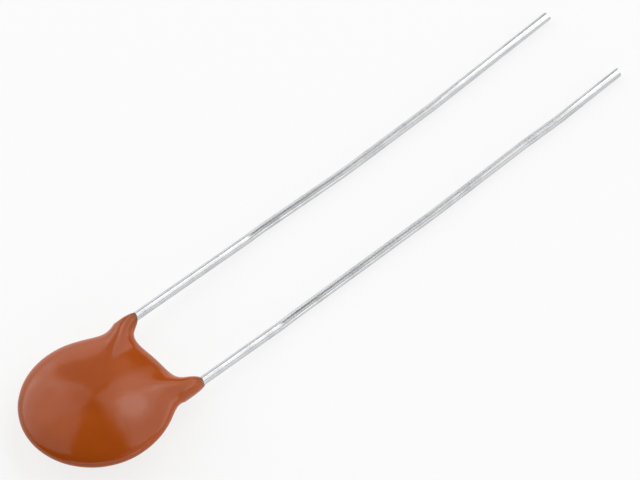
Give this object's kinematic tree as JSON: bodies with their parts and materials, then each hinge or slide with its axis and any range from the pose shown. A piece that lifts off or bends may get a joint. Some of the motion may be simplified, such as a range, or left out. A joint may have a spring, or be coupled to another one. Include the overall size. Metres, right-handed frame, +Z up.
{
  "type": "ceramic disc capacitor",
  "caption": "Lens-shaped ceramic disc capacitor: glossy orange-brown dipped resin coating drawn out into horns along its tinned wire leads, which solder into a circuit board.",
  "frame": {"origin": "middle of the part's footprint, on the table it lies on", "axes": "+X along the leads from the body to the tips, +Y across the leads toward the lead soldered to the upper face, +Z up"},
  "size_m": [0.039, 0.008, 0.0029],
  "materials": {
    "resin": "glossy dipped phenolic resin",
    "ceramic": "matt sintered ceramic",
    "silver": "fired silver film",
    "solder": "dull solder",
    "tinned_wire": "bright tin plating"
  },
  "bodies": {
    "root": {"coating": "resin", "ceramic_disc": "ceramic", "upper_electrode": "silver", "lower_electrode": "silver", "upper_solder": "solder", "lower_solder": "solder", "upper_lead": "tinned_wire", "lower_lead": "tinned_wire"}
  },
  "joints": []
}
